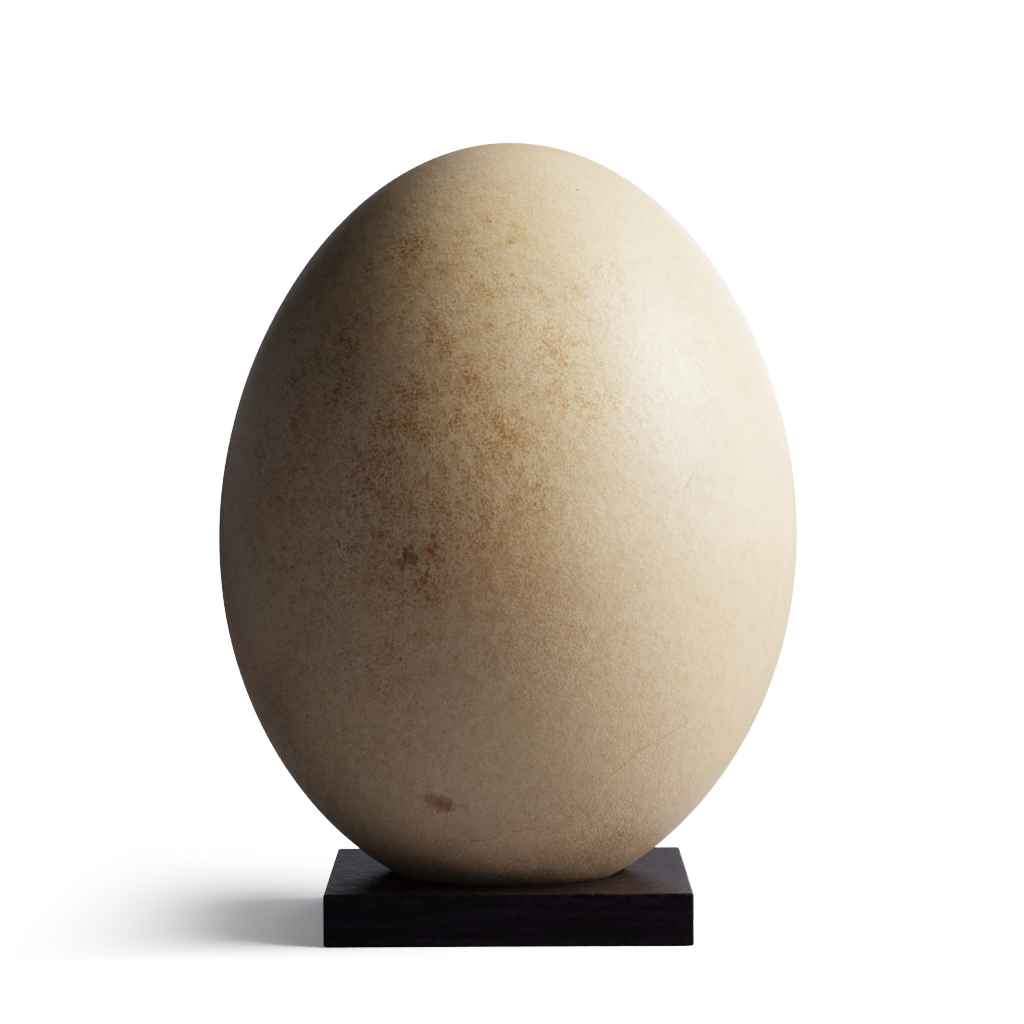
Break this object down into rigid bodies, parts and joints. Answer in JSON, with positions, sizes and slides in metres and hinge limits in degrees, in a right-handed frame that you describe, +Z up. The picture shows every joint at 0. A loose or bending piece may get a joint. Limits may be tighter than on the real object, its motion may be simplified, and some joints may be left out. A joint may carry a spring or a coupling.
{
  "type": "elephant bird egg",
  "caption": "Very large smooth cream egg with rust speckles, pointed end up, seated in the dished top of a low square base of ebonised wood, for display on a table or shelf.",
  "frame": {"origin": "centre of the base's underside, on the surface that it stands on", "axes": "+Z up towards the egg's pointed end, -Y towards the speckled front, +X to the right as seen from the front"},
  "size_m": [0.2262, 0.226, 0.3055],
  "materials": {
    "shell": "satin",
    "wood": "satin"
  },
  "bodies": {
    "root": {"egg": "shell", "base": "wood"}
  },
  "joints": []
}
